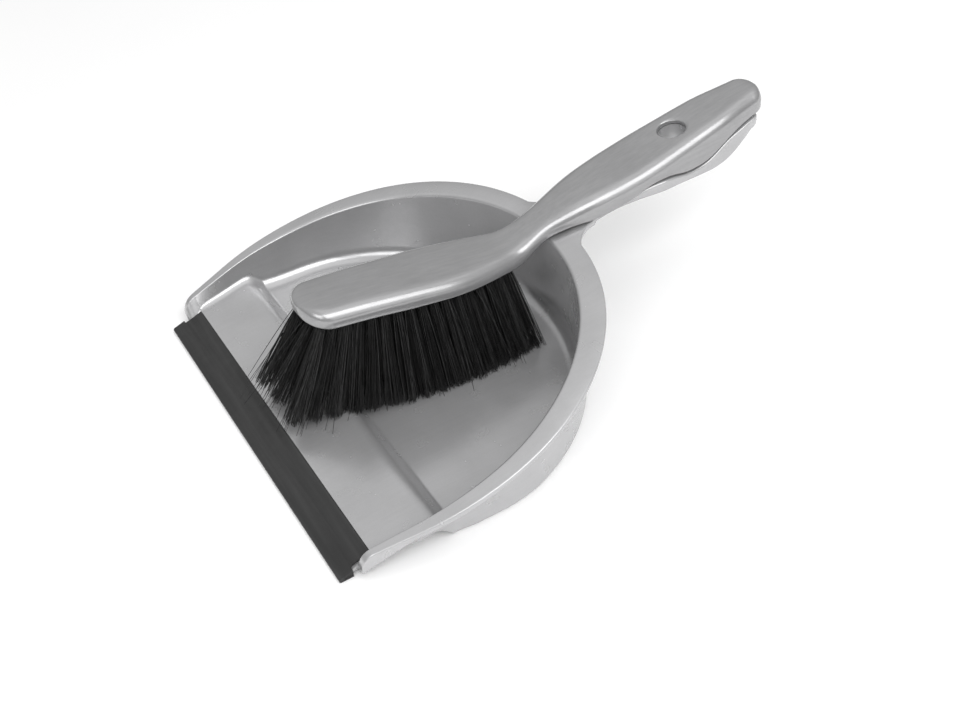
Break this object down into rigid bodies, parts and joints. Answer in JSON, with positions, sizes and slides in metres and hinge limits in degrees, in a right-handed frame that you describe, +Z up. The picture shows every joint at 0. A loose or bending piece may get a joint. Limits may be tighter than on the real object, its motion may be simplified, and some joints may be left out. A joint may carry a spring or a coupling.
{
  "type": "dust pan and brush set",
  "caption": "Hand brush with splayed dark bristle tufts, nested on the handle of a deep moulded dust pan with a rubber lip.",
  "frame": {"origin": "middle of the bottom of the bounding box, on the ground under the pan", "axes": "+Z up, +Y from the pan's lip to the ends of the handles, +X across the pan to the right when looking along +Y"},
  "size_m": [0.2572, 0.324, 0.093],
  "materials": {
    "silver_plastic": "satin moulded plastic with a fine metallic flake, silver grey",
    "stock_plastic": "satin to semi-gloss moulded plastic with a metallic flake and faint lengthwise flow lines",
    "lip_rubber": "matt black flexible rubber",
    "bristle": "black synthetic filament with a soft sheen"
  },
  "bodies": {
    "pan": {"dustpan_body": "silver_plastic", "rubber_lip": "lip_rubber"},
    "brush": {"brush_stock": "stock_plastic", "tuft_right_01": "bristle", "tuft_right_02": "bristle", "tuft_right_03": "bristle", "tuft_right_04": "bristle", "tuft_right_05": "bristle", "tuft_right_06": "bristle", "tuft_right_07": "bristle", "tuft_right_08": "bristle", "tuft_right_09": "bristle", "tuft_right_10": "bristle", "tuft_right_11": "bristle", "tuft_right_12": "bristle", "tuft_right_13": "bristle", "tuft_right_14": "bristle", "tuft_right_15": "bristle", "tuft_right_16": "bristle", "tuft_right_17": "bristle", "tuft_middle_01": "bristle", "tuft_middle_02": "bristle", "tuft_middle_03": "bristle", "tuft_middle_04": "bristle", "tuft_middle_05": "bristle", "tuft_middle_06": "bristle", "tuft_middle_07": "bristle", "tuft_middle_08": "bristle", "tuft_middle_09": "bristle", "tuft_middle_10": "bristle", "tuft_middle_11": "bristle", "tuft_middle_12": "bristle", "tuft_middle_13": "bristle", "tuft_middle_14": "bristle", "tuft_middle_15": "bristle", "tuft_middle_16": "bristle", "tuft_left_01": "bristle", "tuft_left_02": "bristle", "tuft_left_03": "bristle", "tuft_left_04": "bristle", "tuft_left_05": "bristle", "tuft_left_06": "bristle", "tuft_left_07": "bristle", "tuft_left_08": "bristle", "tuft_left_09": "bristle", "tuft_left_10": "bristle", "tuft_left_11": "bristle", "tuft_left_12": "bristle", "tuft_left_13": "bristle", "tuft_left_14": "bristle", "tuft_left_15": "bristle", "tuft_left_16": "bristle", "tuft_left_17": "bristle"}
  },
  "joints": [
    {"name": "brush_lift", "type": "slide", "parent": "pan", "child": "brush", "axis": [0, 0, 1], "range_m": [0, 0.12]}
  ]
}
